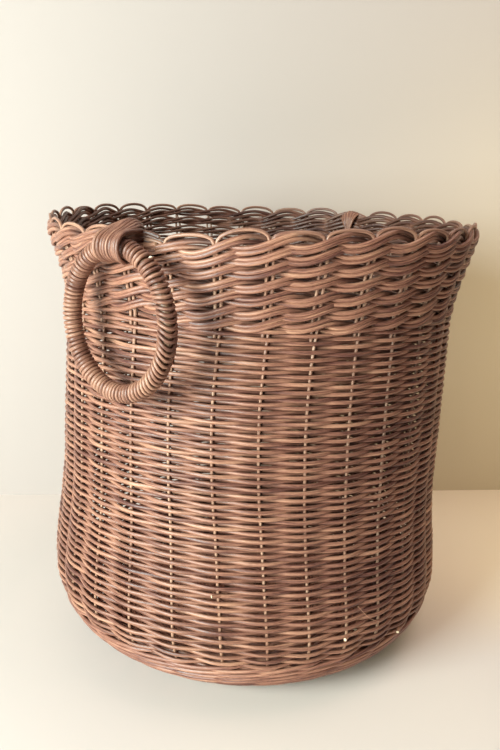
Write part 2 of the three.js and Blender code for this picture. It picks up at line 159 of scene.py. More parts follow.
# Doubled strands: how far each is from the pair's middle, in radii, and how much further behind a stake. The
# upper one leans in by a little and the lower one out
PAIR_APART, PAIR_PARTING = 0.9021, 0.291
PAIR_LEAN = 0.3 * MM

# Where the band is woven loosely, with slimmer and less bent strands
LOOSE_SIDE, LOOSE_WIDTH = math.radians(61), 0.45
LOOSE_SLIMMER, LOOSE_STRAIGHTER = 0.28, 0.5

# Ends of used-up strands: stake spaces from the front and height
CUT_ENDS = [(-3.1, 68.5 * MM), (-1.25, 51.5 * MM), (-6.05, 111.5 * MM)]
CUT_END_SPACES = 0.3
CUT_END_REACH = 6.6 * MM
CUT_END_RADIUS = 1.3 * MM

# One frayed fibre, from root to tip: stake spaces from the front, height and distance off the wall's middle
FIBRE = [(-2.69, 93.6 * MM, 4.2 * MM), (-2.45, 83 * MM, 8 * MM), (-2.05, 73.9 * MM, 6.5 * MM)]
FIBRE_RADIUS = 0.2 * MM

# Base
STICK_RADIUS = 2.25 * MM
STICK_SPACING = 5.2 * MM
STICKS_PER_GROUP = 4
STICK_ENDS = 4 * STICKS_PER_GROUP
SLATH_FAN_RADIUS = 40 * MM
SLATH_OPENING_RADIUS = 19 * MM
BASE_DOME = 8 * MM
BASE_PITCH = 3.5 * MM
BASE_DEPTH = 0.62 * (STICK_RADIUS + 0.9 * WEAVER_RADIUS)
SINGLY_RADIUS = 30 * MM
STICK_END_RADIUS = 131 * MM
CROSSING_EDGE = 16.4 * MM

# Half-lengths of the split in a base stick: where it has opened fully, and where it ends
SPLIT_WIDE, SPLIT_END = 9.4 * MM, 18 * MM

# Rings
HINGE_HEIGHT = 382 * MM
RING_HALF_HEIGHT = 54.25 * MM
RING_HALF_WIDTH = 50.5 * MM
HOOP_RADIUS = 4.3 * MM
WRAP_RADIUS = 1.62 * MM
WRAP_TURNS = 91

# How far the rings' wrapping slants, and on which side of the ring most
SLANT_LEAST, SLANT_MORE = math.radians(4), math.radians(32)
SLANT_SIDE, SLANT_WIDTH = math.radians(105), 0.95

# Where the wrapping starts and how far it goes, as shares of the ring. Its turns are paler near the bottom
WRAP_START, WRAP_SHARE = 0.1, 0.997
PALE_SIDE, PALE_WIDTH, PALE_STRENGTH = math.radians(190), 0.8, 0.22

# Lashings. The crown is their highest place above the hinge, and the hole is a place along the hinge. The turns
# droop away from the highest one, and fan out from the hole and in again over these shares of a turn
LASH_RADIUS = 1.48 * MM
LASH_TURNS = 9
LASH_PITCH = 3.0 * MM
LASH_CROWN = 17.2 * MM
LASH_HOLE = -2 * MM
LASH_GAP = 0.65 * MM
LASH_TOP_ROUND = 9 * MM
LASH_FOOT_ROUND = 3 * MM
LASH_FOOT_DEPTH = 7.5 * MM
LASH_DROOP = 7 * MM
LASH_HIGHEST, LASH_DROOP_TURNS = 3, 5
FAN_OUT, FAN_IN = 0.3, 0.42

# The camera's right-hand direction, as an angle seen from above
CAMERA_AZIMUTH = math.radians(-59.32)


# --- Small helpers ---


def smooth_step(x):
    """Rises smoothly from zero to one between zero and one."""
    x = np.clip(x, 0, 1)
    return x * x * (3 - 2 * x)


def bell(x, width):
    """One at zero, falling to nothing within about two widths."""
    return np.exp(-((x / width) ** 2))


def signed(angle):
    """An angle brought to between minus and plus half a turn."""
    return (angle + math.pi) % TAU - math.pi


# --- Section of the wall ---


def hermite(x, x0, y0, slope0, x1, y1, slope1):
    """Smooth curve between two values with a given slope at each end."""
    span = x1 - x0
    t = (x - x0) / span
    rise = t * t * (3 - 2 * t)
    lead = t * (1 - t) ** 2 * slope0 * span
    trail = -t * t * (1 - t) * slope1 * span
    return y0 + (y1 - y0) * rise + lead + trail


def outer_radius(z):
    """Outer radius of the basket at heights z: rounded heel, belly, waist, neck and flared rim."""
    heel = np.clip(1 - z / BELLY_HEIGHT, 0, 1) ** HEEL_FULLNESS
    heel = BASE_RADIUS + (BELLY_RADIUS - BASE_RADIUS) * (1 - heel) ** (1 / HEEL_FULLNESS)
    body = hermite(z, BELLY_HEIGHT, BELLY_RADIUS, 0, WAIST_HEIGHT, WAIST_RADIUS, 0)
    upper = hermite(z, WAIST_HEIGHT, WAIST_RADIUS, 0, NECK_HEIGHT, NECK_RADIUS, 0)
    rim = hermite(z, NECK_HEIGHT, NECK_RADIUS, 0, BASKET_HEIGHT, RIM_RADIUS, RIM_FLARE)
    below = [z < BELLY_HEIGHT, z < WAIST_HEIGHT, z < NECK_HEIGHT]
    return np.select(below, [heel, body, upper], rim)


def wall_table():
    """The wall's middle line from the base's edge to the rim: arc length, radius, height and outward normal."""
    z = np.linspace(0, BASKET_HEIGHT, 1601)
    r = outer_radius(z)
    slope = np.gradient(r, z)
    nr, nz = 1 / np.hypot(1, slope), -slope / np.hypot(1, slope)
    flat = np.linspace(BASE_EDGE_RADIUS, BASE_RADIUS - MM, FLAT_STEPS)
    table = {
        "outer_z": np.r_[np.zeros(FLAT_STEPS), z],
        "r": np.r_[flat, r - nr * WALL_HALF],
        "z": np.r_[np.full(FLAT_STEPS, WALL_HALF), z - nz * WALL_HALF],
        "nr": np.r_[np.zeros(FLAT_STEPS), nr],
        "nz": np.r_[np.full(FLAT_STEPS, -1.0), nz],
    }
    steps = np.hypot(np.diff(table["r"]), np.diff(table["z"]))
    table["arc"] = np.r_[0, np.cumsum(steps)]
    return table


WALL = wall_table()


def arc_at(height):
    """Arc length along the wall where its outer face is at a height."""
    return float(np.interp(height, WALL["outer_z"][FLAT_STEPS:], WALL["arc"][FLAT_STEPS:]))


def near_handles(angle):
    """One beside a handle, falling to zero away from it."""
    return sum(bell(signed(angle - FRONT - side * HANDLE_SPACES * SPACE), HANDLE_CALM) for side in (-1, 1))


def handmade(angle, z):
    """Small unevenness of the hand-made wall, as an offset of its radius."""
    height = np.clip(z / BASKET_HEIGHT, 0, 1)
    rim = height**6
    body = np.sin(np.pi * height) ** 2
    full = SWELL * bell(height - SWELL_PLACE, SWELL_WIDTH) - FLOOR_TUCK * bell(z, TUCK_HEIGHT)
    waves = 0.6 * np.sin(2 * angle + 0.7) + 0.4 * np.sin(3 * angle + 5 * height)
    waves = waves + 0.3 * np.sin(5 * angle - 7 * height)
    edge = 0.8 * np.sin(3 * angle - 0.4) + 0.6 * np.sin(7 * angle + 1.3)
    return full + (body * waves + rim * edge) * (1 - near_handles(angle)) * MM


def sway(z):
    """How far the soft wall leans to the camera's right at a height."""
    heights, leans = np.array(SWAY).T * MM
    return np.interp(z, heights, leans)


def twist(angle, z):
    """How far the wall is turned about its axis: its stakes lean, most at the foot on the camera's side."""
    heights, shifts = np.array(TWIST).T * MM
    near = TWIST_STRENGTH * bell(signed(angle - CAMERA_AZIMUTH - TWIST_SIDE), TWIST_WIDTH)
    return near * np.interp(z, heights, shifts) / WAIST_RADIUS


def rim_wave(angle, z):
    """Small rise and fall of the rim, which sags beside the left handle."""
    rim = np.clip(z / BASKET_HEIGHT, 0, 1) ** 8
    wave = rim * (0.9 * np.sin(3 * angle + 2.1) + 0.6 * np.sin(8 * angle)) * MM
    up_band = np.clip((z - NECK_HEIGHT) / (BAND_TOP - NECK_HEIGHT), 0, 1.1)
    for centre, width, depth in RIM_SAGS:
        wave = wave - up_band * depth * bell(signed(angle - math.radians(centre)), math.radians(width))
    return wave


def on_wall(arc, angle, out):
    """Points on the wall, and the normals there.

    arc is the length along the wall's middle line, and out the distance outwards from it.
    """
    arc, angle, out = np.broadcast_arrays(np.asarray(arc, float), angle, out)
    r, z, nr, nz = (np.interp(arc, WALL["arc"], WALL[key]) for key in ("r", "z", "nr", "nz"))
    radius = r + nr * out + handmade(angle, z)
    height = z + nz * out + rim_wave(angle, z)
    angle = angle + twist(angle, z)
    lean = sway(z)
    x = radius * np.cos(angle) + lean * math.cos(CAMERA_AZIMUTH)
    y = radius * np.sin(angle) + lean * math.sin(CAMERA_AZIMUTH)
    points = np.stack([x, y, height], -1)
    normals = np.stack([nr * np.cos(angle), nr * np.sin(angle), nz], -1)
    return points, normals


# --- Strands ---


def smooth_noise(t, spacing, rng):
    """Random values between -1 and 1 at even spacings along t, joined smoothly."""
    t = np.asarray(t, float) / spacing
    low = math.floor(t.min())
    values = rng.uniform(-1, 1, math.ceil(t.max()) - low + 2)
    cell = np.floor(t).astype(int)
    share = smooth_step(t - cell)
    cell -= low
    return values[cell] * (1 - share) + values[cell + 1] * share


def resample(points, step):
    """A smooth curve through a few points, as points about a step apart."""
    points = np.asarray(points, float)
    knots = np.r_[0, np.cumsum(np.linalg.norm(np.diff(points, axis=0), axis=1))]
    slopes = np.gradient(points, knots, axis=0)
    count = max(int(round(knots[-1] / step)), 2) + 1
    at = np.linspace(0, knots[-1], count)
    cell = np.clip(np.searchsorted(knots, at, side="right") - 1, 0, len(knots) - 2)
    span = (knots[cell + 1] - knots[cell])[:, None]
    t = ((at - knots[cell]) / span[:, 0])[:, None]
    rise = t * t * (3 - 2 * t)
    lead = t * (1 - t) ** 2 * slopes[cell] * span
    trail = -t * t * (1 - t) * slopes[cell + 1] * span
    return points[cell] + (points[cell + 1] - points[cell]) * rise + lead + trail


class Bundle:
    """Strands of cane gathered into one mesh, with the marks that the cane material reads: a lighter tone,
    painted shade and cut ends.
    """

    def __init__(self, name, seed):
        self.name = name
        self.rng = np.random.default_rng(seed)
        self.points, self.quads, self.caps = [], [], []
        self.grain, self.mark = [], []
        self.count = 0

    def strand(self, path, radius, side, sides=8, loop=False, tone=0.0, painted_shade=0.0, squash=1.0):
        """Adds a tube along a path.

        side points to where its section starts, and squash flattens it that way. tone makes the cane lighter,
        and the next argument darkens its colour with painted shade, as in crevices and behind stakes. The
        tube's own flanks get painted shade too, most on the side away from where its section starts.
        """
        path = np.asarray(path, float)
        steps = len(path)
        if loop:
            along = np.roll(path, -1, axis=0) - np.roll(path, 1, axis=0)
        else:
            along = np.gradient(path, axis=0)
        along /= np.linalg.norm(along, axis=1)[:, None]
        side = np.broadcast_to(np.asarray(side, float), path.shape)
        side = side - along * np.sum(side * along, axis=1)[:, None]
        side /= np.linalg.norm(side, axis=1)[:, None]
        across = np.cross(along, side)
        turn = np.linspace(0, TAU, sides, endpoint=False)
        radius = np.broadcast_to(np.asarray(radius, float), steps)[:, None, None]
        ring = squash * np.cos(turn)[None, :, None] * side[:, None]
        ring = ring + np.sin(turn)[None, :, None] * across[:, None]
        points = path[:, None] + radius * ring
        length = np.r_[0, np.cumsum(np.linalg.norm(np.diff(path, axis=0), axis=1))]
        start = self.rng.uniform(0, 50)
        grain = np.empty((steps, sides, 3))
        grain[..., 0] = (length + start)[:, None]
        grain[..., 1] = radius[..., 0] * np.cos(turn)
        grain[..., 2] = radius[..., 0] * np.sin(turn)
        # The marks: a lighter tone, painted shade for crevices, stake backs and the tube's flanks, and the cut
        # end
        mark = np.zeros((steps, sides, 3))
        mark[..., 0] = np.broadcast_to(np.asarray(tone, float), steps)[:, None]
        painted_flank_shade = 0.5 * (1 - np.cos(turn)) ** 1.3
        painted_shade = np.broadcast_to(np.asarray(painted_shade, float), steps)[:, None]
        mark[..., 1] = np.clip(painted_shade + FLANK_PAINTED_SHADE * painted_flank_shade, 0, 1)
        rows = steps if loop else steps - 1
        i = np.arange(rows)[:, None]
        j = np.arange(sides)[None]
        here, there = i * sides, ((i + 1) % steps) * sides
        j_next = (j + 1) % sides
        quads = np.stack([here + j, here + j_next, there + j_next, there + j], -1)
        quads = quads.reshape(-1, 4) + self.count
        self._keep(points, grain, mark)
        self.quads.append(quads)
        if not loop:
            self._cap(points[0][::-1], grain[0][::-1], mark[0][::-1])
            self._cap(points[-1], grain[-1], mark[-1])

    def _keep(self, points, grain, mark):
        self.points.append(points.reshape(-1, 3))
        self.grain.append(grain.reshape(-1, 3))
        self.mark.append(mark.reshape(-1, 3))
        self.count += len(self.points[-1])

    def _cap(self, points, grain, mark):
        """A flat cut end. Its corners are its own, so that the cut's colour stops at its edge."""
        mark = mark.copy()
        mark[:, 2] = 1
        self.caps.append(np.arange(len(points)) + self.count)
        self._keep(points, grain, mark)

    def make(self, material, body, replaces):
        """Makes the mesh object with its material, parents it to its body's empty, and hides the CAD nodes that
        it replaces.
        """
        points = np.concatenate(self.points)
        quads = np.concatenate(self.quads)
        sizes = np.r_[np.full(len(quads), 4), [len(cap) for cap in self.caps]].astype(np.int32)
        corners = np.concatenate([quads.ravel(), *self.caps]).astype(np.int32)
        mesh = bpy.data.meshes.new(self.name)
        mesh.vertices.add(len(points))
        mesh.vertices.foreach_set("co", points.astype(np.float32).ravel())
        mesh.loops.add(len(corners))
        mesh.loops.foreach_set("vertex_index", corners)
        mesh.polygons.add(len(sizes))
        mesh.polygons.foreach_set("loop_start", np.r_[0, np.cumsum(sizes)[:-1]].astype(np.int32))
        mesh.update(calc_edges=True)
        mesh.validate()
        mesh.polygons.foreach_set("use_smooth", np.ones(len(sizes), bool))
        for name, rows in (("grain", self.grain), ("mark", self.mark)):
            layer = mesh.attributes.new(name, "FLOAT_VECTOR", "POINT")
            layer.data.foreach_set("vector", np.concatenate(rows).astype(np.float32).ravel())
        mesh.materials.append(material)
        piece = bpy.data.objects.new(self.name, mesh)
        bpy.context.scene.collection.objects.link(piece)
        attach(piece, body)
        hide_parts(*replaces)


# --- Materials ---

# The cane's noises: their strengths, and their waves per metre along a strand and both ways across it
SLOW_WAVES, SLOW_STRENGTH = (14, 120, 120), 0.9
STREAK_WAVES, STREAK_STRENGTH = (38, 1100, 1100), 1.9
FINE_WAVES, FINE_STRENGTH = (300, 4500, 4500), 0.7
SHADE_START = -0.05

# Painted shade in crevices, behind stakes and on the strands' flanks: how dark it is, as a share of the dark
# colour, and how strongly the cane takes it on
PAINTED_SHADE_SHARE, PAINTED_SHADE_STRENGTH = 0.2, 0.68


def srgb(*rgb):
    """A colour written as sRGB from 0 to 255, as linear values."""
    return tuple((c / 255 / 12.92 if c <= 10 else ((c / 255 + 0.055) / 1.055) ** 2.4) for c in rgb) + (1.0,)


class Nodes:
    """Short forms for building a material's nodes."""

    def __init__(self, name):
        self.material = bpy.data.materials.new(name)
        self.material.use_nodes = True
        self.tree = self.material.node_tree
        self.shader = self.tree.nodes["Principled BSDF"]

    def new(self, kind, **values):
        node = self.tree.nodes.new(kind)
        for key, value in values.items():
            setattr(node, key, value)
        return node

    def link(self, source, target):
        self.tree.links.new(source, target)

    def math(self, operation, *values):
        node = self.new("ShaderNodeMath", operation=operation)
        for socket, value in zip(node.inputs, values):
            if isinstance(value, (int, float)):
                socket.default_value = value
            else:
                self.link(value, socket)
        return node.outputs[0]

    def noise(self, vector, stretch, detail=2.0, roughness=0.5):
        """Noise of a vector stretched by three factors, from about 0 to 1."""
        scale = self.new("ShaderNodeVectorMath", operation="MULTIPLY")
        self.link(vector, scale.inputs[0])
        scale.inputs[1].default_value = stretch
        noise = self.new("ShaderNodeTexNoise")
        noise.inputs["Scale"].default_value = 1.0
        noise.inputs["Detail"].default_value = detail
        noise.inputs["Roughness"].default_value = roughness
        self.link(scale.outputs[0], noise.inputs["Vector"])
        return noise.outputs["Fac"]

    def ramp(self, factor, stops):
        ramp = self.new("ShaderNodeValToRGB")
        elements = ramp.color_ramp.elements
        while len(elements) < len(stops):
            elements.new(0.5)
        for element, (place, colour) in zip(elements, stops):
            element.position = place
            element.color = colour
        self.link(factor, ramp.inputs[0])
        return ramp.outputs[0]

    def mix(self, factor, a, b):
        node = self.new("ShaderNodeMix", data_type="RGBA")
        for socket, value in ((node.inputs[0], factor), (node.inputs[6], a), (node.inputs[7], b)):
            if isinstance(value, (int, float, tuple)):
                socket.default_value = value
            else:
                self.link(value, socket)
        return node.outputs[2]


def cane_material(name, dark, middle, light, cut, shine=0.42):
    """Dyed cane: streaks along the strand, slow changes of tone, painted shade in crevices and on the flanks,
    pale cut ends.
    """
    n = Nodes(name)
    grain = n.new("ShaderNodeAttribute", attribute_name="grain").outputs["Vector"]
    mark = n.new("ShaderNodeSeparateXYZ")
    n.link(n.new("ShaderNodeAttribute", attribute_name="mark").outputs["Vector"], mark.inputs[0])
    tone, painted_shade, cut_end = mark.outputs
    slow = n.noise(grain, SLOW_WAVES, detail=2)
    streak = n.noise(grain, STREAK_WAVES, detail=4, roughness=0.72)
    fine = n.noise(grain, FINE_WAVES, detail=2)
    shade = n.math("MULTIPLY_ADD", slow, SLOW_STRENGTH, SHADE_START)
    for noise, strength in ((streak, STREAK_STRENGTH), (fine, FINE_STRENGTH)):
        shade = n.math("ADD", shade, n.math("MULTIPLY", n.math("SUBTRACT", noise, 0.5), strength))
    shade = n.math("ADD", shade, tone)
    # Painted shade: the colour goes towards a share of the dark colour where the mesh is marked for it
    painted_shade_colour = tuple(PAINTED_SHADE_SHARE * c for c in dark[:3]) + (1.0,)
    colour = n.ramp(shade, [(0.08, dark), (0.5, middle), (0.95, light)])
    colour = n.mix(n.math("MULTIPLY", painted_shade, PAINTED_SHADE_STRENGTH), colour, painted_shade_colour)
    colour = n.mix(cut_end, colour, cut)
    n.link(colour, n.shader.inputs["Base Color"])
    rough = n.math("ADD", n.math("MULTIPLY", n.math("SUBTRACT", streak, 0.5), 0.5), shine)
    n.link(rough, n.shader.inputs["Roughness"])
    n.shader.inputs["Specular IOR Level"].default_value = 0.65
    bump = n.new("ShaderNodeBump")
    bump.inputs["Strength"].default_value = 0.5
    bump.inputs["Distance"].default_value = 0.5 * MM
    n.link(n.math("ADD", streak, n.math("MULTIPLY", fine, 0.4)), bump.inputs["Height"])
    n.link(bump.outputs[0], n.shader.inputs["Normal"])
    return n.material


PALE_CUT = srgb(240, 220, 186)
WEAVER = cane_material("weaver_cane", srgb(92, 51, 43), srgb(160, 109, 87), srgb(205, 155, 124), PALE_CUT)
FOOT = cane_material("foot_cane", srgb(92, 51, 43), srgb(160, 107, 87), srgb(204, 154, 125), PALE_CUT)
# The stake cane's colours are paler than the weavers'. This paleness is partly painted light, so that the
# stretches between the weavers, which the weave shades, come out bright
STAKE = cane_material("stake_cane", srgb(130, 88, 72), srgb(180, 134, 108), srgb(226, 188, 158), PALE_CUT)
CORE = cane_material("core_cane", srgb(116, 84, 64), srgb(150, 112, 86), srgb(180, 140, 110), PALE_CUT)
WRAP = cane_material("wrapping_cane", srgb(92, 54, 44), srgb(152, 105, 84), srgb(200, 156, 128), PALE_CUT)


# --- Places of the stakes and sticks ---

STICK_END_SPACE = TAU / STICK_ENDS
STAKE_DRIFT = np.random.default_rng(7).uniform(-1, 1, STAKES) * 0.7 * MM


def base_middle(radius):
    """Middle height of the base, a shallow dome."""
    out = np.maximum(np.asarray(radius, float) - SLATH_FAN_RADIUS, 0) / (BASE_EDGE_RADIUS - SLATH_FAN_RADIUS)
    return WALL_HALF + BASE_DOME * (1 - out)


def pair_angle(k):
    """Angle of the middle of the pair that stake k stands in."""
    return FRONT + k * SPACE


def stick_end_angle(end):
    """Angle of a base stick's end, counted from the front."""
    return FRONT + (end + 0.5) * STICK_END_SPACE


def insert_point(k, radius):
    """Where stake k lies beside its base stick's end."""
    angle = stick_end_angle(k // 2)
    side = 1 if k % 2 else -1
    beside = side * (STICK_RADIUS + STAKE_RADIUS + 0.3 * MM)
    return [
        radius * math.cos(angle) - beside * math.sin(angle),
        radius * math.sin(angle) + beside * math.cos(angle),
        float(base_middle(radius)),
    ]


# --- The basket's weaves ---


def below_end(turns):
    """How far a spiral is below its end, as a share of its pitch, with the step at its end made smooth."""
    share = turns % 1
    return share * (1 - smooth_step((share - 1 + SPIRAL_EASE) / SPIRAL_EASE))


def foot_turns():
    """How often each of the foot's strands goes round."""
    return (arc_at(FOOT_END) - FOOT_START) / FOOT_PITCH


def along_weave(turns, steps_per_space):
    """Angles along a strand that goes round the wall, at even steps."""
    return np.arange(int(turns * STAKES * steps_per_space) + 1) * SPACE / steps_per_space


def loose_ends(bundle):
    """Cut ends that come out between the rows, and a fibre that stands off the wall."""
    share = np.linspace(0, 1, 6)
    for spaces, height in CUT_ENDS:
        angle = FRONT + (spaces + CUT_END_SPACES * (1 - share)) * SPACE
        points, normals = on_wall(arc_at(height), angle, CUT_END_REACH * share)
        bundle.strand(points, CUT_END_RADIUS, normals, tone=0.2)
    spaces, heights, out = np.array(FIBRE).T
    points, normals = on_wall([arc_at(z) for z in heights], FRONT + spaces * SPACE, out)
    bundle.strand(resample(points, 1.5 * MM), FIBRE_RADIUS, normals[1], sides=5, tone=0.6)


def wall_weave():
    """Plain over-one-under-one weave: one strand in a rising spiral, with an odd number of stakes."""
    bundle = Bundle("wall_strands", 11)
    rng = bundle.rng
    low, high = arc_at(FOOT_HEIGHT), arc_at(WALL_TOP)
    t = along_weave((high - low) / WALL_PITCH, steps_per_space=5)
    wave = np.cos(STAKES * t / 2)
    behind = np.clip(-wave, 0, 1)
    uneven_depth = 0.22 * MM * smooth_noise(t, 2 * SPACE, rng)
    uneven_row = 0.34 * MM * smooth_noise(t, 1.3 * SPACE, rng)
    arc = low + WALL_PITCH * t / TAU + uneven_row
    # The first rows lie down on the foot's spiral end, and the last ones rise to the band's step
    foot_drop = 0.8 * FOOT_PITCH
    drop = foot_drop * below_end(foot_turns() - t / TAU) + WALL_PITCH * below_end(t / TAU)
    arc -= drop * smooth_step(1 - (arc - low) / FOOT_JOIN_HEIGHT)
    arc -= DIP_BEHIND * behind
    from_step = signed(t + WEDGE_SPACES * SPACE)
    arc += WEDGE * bell(from_step, WEDGE_WIDTH) * smooth_step(1 - (high - arc) / WEDGE_HEIGHT)
    points, normals = on_wall(arc, FRONT + STAKE_TURN + t, wave * (WEAVE_DEPTH + uneven_depth))
    tone = 0.16 * smooth_noise(t, 5.5 * SPACE, rng) + 0.10 * smooth_noise(t, 1.1 * SPACE, rng)
    radius = WEAVER_RADIUS * (1 + 0.05 * smooth_noise(t, 7 * SPACE, rng) + THICKER_BEHIND * behind)
    # Painted shade on the strand where it passes behind a stake
    painted_shade = PAINTED_SHADE_BEHIND * behind
    bundle.strand(points, radius, normals, sides=7, tone=tone, painted_shade=painted_shade, squash=WEAVER_SQUASH)
    loose_ends(bundle)
    bundle.make(WEAVER, "basket", ["wall_weave"])


def band_weave():
    """Two-strand twining with doubled strands. Each row steps up to the next at the left handle."""
    bundle = Bundle("band_strands", 12)
    rng = bundle.rng
    start = FRONT - (HANDLE_SPACES - 0.5) * SPACE
    t = along_weave(len(BAND_ROWS), steps_per_space=10)
    step = BAND_STEP_SPACES * SPACE
    row = np.floor(t / TAU)
    row = row + smooth_step(((t % TAU) - TAU + step) / step)
    rows = np.array([arc_at(height) for height in BAND_ROWS])
    rows = np.append(rows, rows[-1] + BAND_LAST_STEP)
    middle = np.interp(row, np.arange(len(rows)), rows) + BAND_SWING * math.sin(BAND_LAG)
    wander = [smooth_noise(t, 1.7 * SPACE, rng) for _ in range(2)]
    tension = [1 + BAND_TENSION * smooth_noise(t, 2.6 * SPACE, rng) for _ in range(2)]
    loose = bell(signed(start + t - LOOSE_SIDE), LOOSE_WIDTH)
    slim = BAND_STRAND_RADIUS * (1 - LOOSE_SLIMMER * loose)
    near_top = np.clip(row - len(BAND_ROWS) + 3, 0, 2) / 2
    swing = BAND_SWING * (1 + BAND_TOP_WIDER * near_top) * (1 - LOOSE_STRAIGHTER * loose)
    for weaver in (0, 1):
        phase = STAKES * t / 2 + math.pi * weaver
        rise = swing * tension[weaver] * np.sin(phase - BAND_LAG) + BAND_WANDER * wander[weaver]
        # Painted shade where the strands pass behind the stakes
        painted_shade = np.clip(-np.cos(phase), 0, 1)
        # The two strands of a pair lie side by side and part a little behind the stakes
        apart = slim * (PAIR_APART + PAIR_PARTING * np.clip(0.2 - np.cos(phase), 0, 1))
        for strand in (-1, 1):
            arc = middle + rise + strand * (apart + 0.3 * MM * smooth_noise(t, SPACE, rng))
            uneven_depth = 0.2 * MM * smooth_noise(t, 1.5 * SPACE, rng) - strand * PAIR_LEAN
            out = WEAVE_DEPTH * np.cos(phase) + uneven_depth
            points, normals = on_wall(arc, start + STAKE_TURN + t, out)
            tone = 0.02 + 0.14 * smooth_noise(t, 3 * SPACE, rng) + 0.08 * smooth_noise(t, SPACE, rng)
            bundle.strand(points, slim, normals, tone=tone, painted_shade=painted_shade)
    bundle.make(WEAVER, "basket", ["band_weave"])


def foot_weave():
    """Three-strand wale round the heel: each strand passes over two stakes and behind one."""
    bundle = Bundle("foot_strands", 13)
    rng = bundle.rng
    t = along_weave(foot_turns(), steps_per_space=6)
    for weaver in range(FOOT_STRANDS):
        phase = TAU * (t / SPACE - weaver) / FOOT_STRANDS - math.pi / FOOT_STRANDS
        wave = np.tanh(FLOAT_FLATNESS * (np.cos(phase) + FLOAT_LONGER)) / math.tanh(1.2)
        uneven_row = 0.3 * MM * smooth_noise(t, 1.5 * SPACE, rng)
        arc = FOOT_START + FOOT_PITCH * t / TAU + FOOT_SWING * np.sin(phase) + uneven_row
        points, normals = on_wall(arc, FRONT + STAKE_TURN + t, WEAVE_DEPTH * wave)
        points[:, 2] = np.maximum(points[:, 2], WEAVER_RADIUS + 0.05 * MM)
        tone = 0.15 * smooth_noise(t, 4 * SPACE, rng) + 0.08 * smooth_noise(t, SPACE, rng)
        # Painted shade where the strands pass behind the stakes
        painted_shade = PAINTED_SHADE_BEHIND * np.clip(-wave, 0, 1)
        bundle.strand(points, WEAVER_RADIUS, normals, sides=7, tone=tone, painted_shade=painted_shade)
    bundle.make(FOOT, "basket", ["foot_weave"])


def base_weave():
    """Two strands twined outwards over and under the base sticks, in groups first and singly further out."""
    bundle = Bundle("base_strands", 14)
    rng = bundle.rng
    pitch = BASE_PITCH
    steps_per_end = 6
    turns = (BASE_EDGE_RADIUS - SLATH_OPENING_RADIUS - 2 * WEAVER_RADIUS) / pitch
    t = np.arange(int(turns * STICK_ENDS * steps_per_end) + 1) * TAU / (STICK_ENDS * steps_per_end)
    radius = SLATH_OPENING_RADIUS + WEAVER_RADIUS + pitch * t / TAU
    singly = np.clip((radius - SINGLY_RADIUS) / (5 * MM), 0, 1)
    angle = stick_end_angle(0) + t
    for weaver in (0, 1):
        groups = np.cos(2 * t + math.pi * weaver)
        ends = np.cos(STICK_ENDS / 2 * t + math.pi * weaver)
        wave = groups * (1 - singly) + ends * singly
        r = radius + 0.3 * MM * smooth_noise(t, STICK_END_SPACE, rng)
        points = np.stack([r * np.cos(angle), r * np.sin(angle), base_middle(r) + BASE_DEPTH * wave], -1)
        tone = 0.15 * smooth_noise(t, 0.8, rng)
        bundle.strand(points, WEAVER_RADIUS, (0, 0, 1), sides=6, tone=tone)
    bundle.make(WEAVER, "basket", ["base_weave"])


# --- Stakes with their arches ---


def arch_rise(k, rng):
    """How far an arch stands above the band. The arches under the lashings are pressed down."""
    rise = (SCALLOP_HEIGHT - ARCH_RADIUS) * rng.uniform(0.75, 1.12)
    pressed = [(round(side * HANDLE_SPACES - 0.5)) % STAKES for side in (-1, 1)]
    return PRESSED_ARCH if k in pressed else rise


